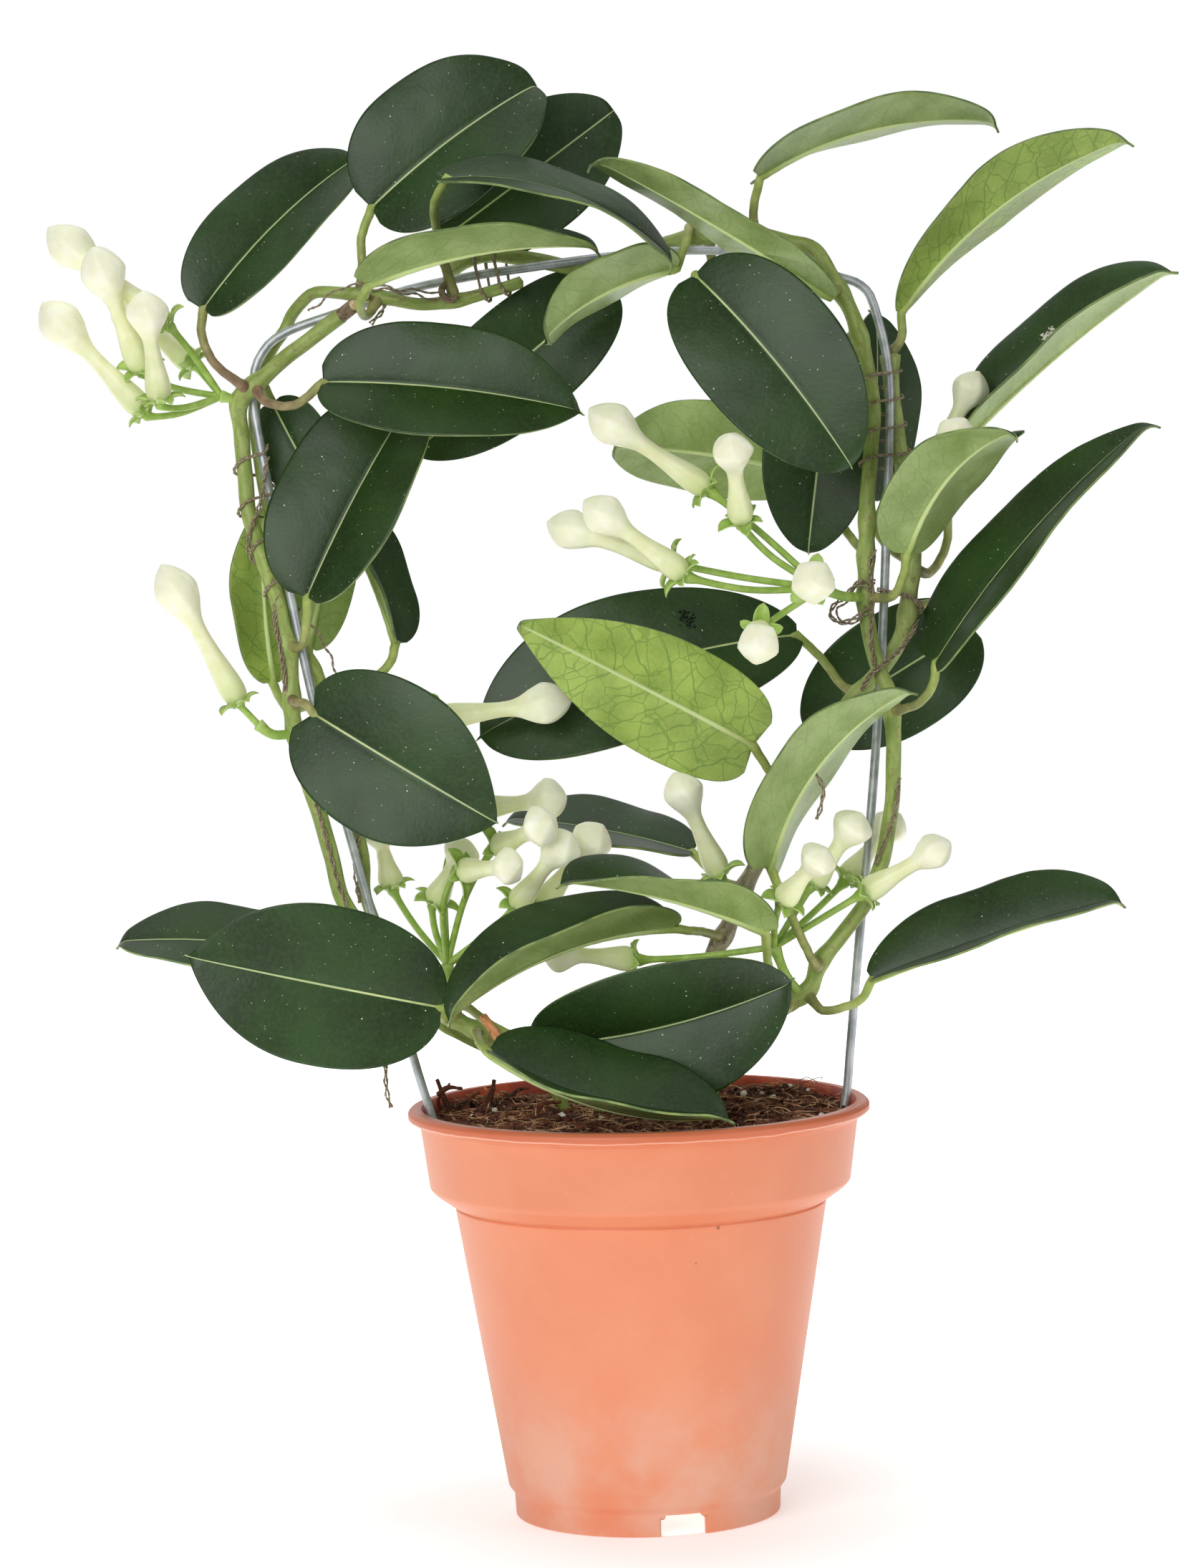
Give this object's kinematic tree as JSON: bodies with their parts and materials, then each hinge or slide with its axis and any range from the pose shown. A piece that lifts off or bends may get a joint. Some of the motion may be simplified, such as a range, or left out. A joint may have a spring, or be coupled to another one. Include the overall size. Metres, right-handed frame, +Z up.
{
  "type": "potted plant",
  "caption": "Madagascar jasmine with leathery oval leaves and closed white buds, trained on a wire hoop in a round plastic nursery pot.",
  "frame": {"origin": "middle of the pot's underside, on the floor, on the pot's axis; the bounding box's bottom middle lies about 3 mm from it", "axes": "+Z up along the pot's axis, +X to the plant's right as seen from its front, -Y its front"},
  "size_m": [0.3165, 0.1336, 0.4101],
  "materials": {
    "terracotta_plastic": "satin, slightly chalky orange-brown plastic",
    "potting_soil": null,
    "galvanised_wire": "zinc-coated wire",
    "bark": "grey-brown bark",
    "green_stem": "young green stem with corky specks",
    "twine": "brown string",
    "dry_stalk": "dried orange-brown leaf stalk",
    "leaf": null,
    "flower_bud": null
  },
  "bodies": {
    "root": {"bud_centre": "flower_bud", "bud_left_low": "flower_bud", "buds_left": "flower_bud", "buds_low": "flower_bud", "buds_middle": "flower_bud", "buds_right": "flower_bud", "buds_right_low": "flower_bud", "leaf_01": "leaf", "leaf_02": "leaf", "leaf_03": "leaf", "leaf_04": "leaf", "leaf_05": "leaf", "leaf_06": "leaf", "leaf_07": "leaf", "leaf_08": "leaf", "leaf_09": "leaf", "leaf_10": "leaf", "leaf_11": "leaf", "leaf_12": "leaf", "leaf_13": "leaf", "leaf_14": "leaf", "leaf_15": "leaf", "leaf_16": "leaf", "leaf_17": "leaf", "leaf_18": "leaf", "leaf_19": "leaf", "leaf_20": "leaf", "leaf_21": "leaf", "leaf_22": "leaf", "leaf_23": "leaf", "leaf_24": "leaf", "leaf_25": "leaf", "leaf_26": "leaf", "leaf_27": "leaf", "leaf_28": "leaf", "leaf_29": "leaf", "leaf_30": "leaf", "leaf_31": "leaf", "leaf_32": "leaf", "leaf_33": "leaf", "leaf_34": "leaf", "leaf_35": "leaf", "leaf_36": "leaf", "pot": "terracotta_plastic", "soil": "potting_soil", "stalk_dead": "dry_stalk", "stem_left": "green_stem", "stem_left_back": "green_stem", "stem_right": "green_stem", "stem_woody": "bark", "twine_left": "twine", "twine_right": "twine", "twine_top": "twine", "wire_hoop": "galvanised_wire"}
  },
  "joints": []
}
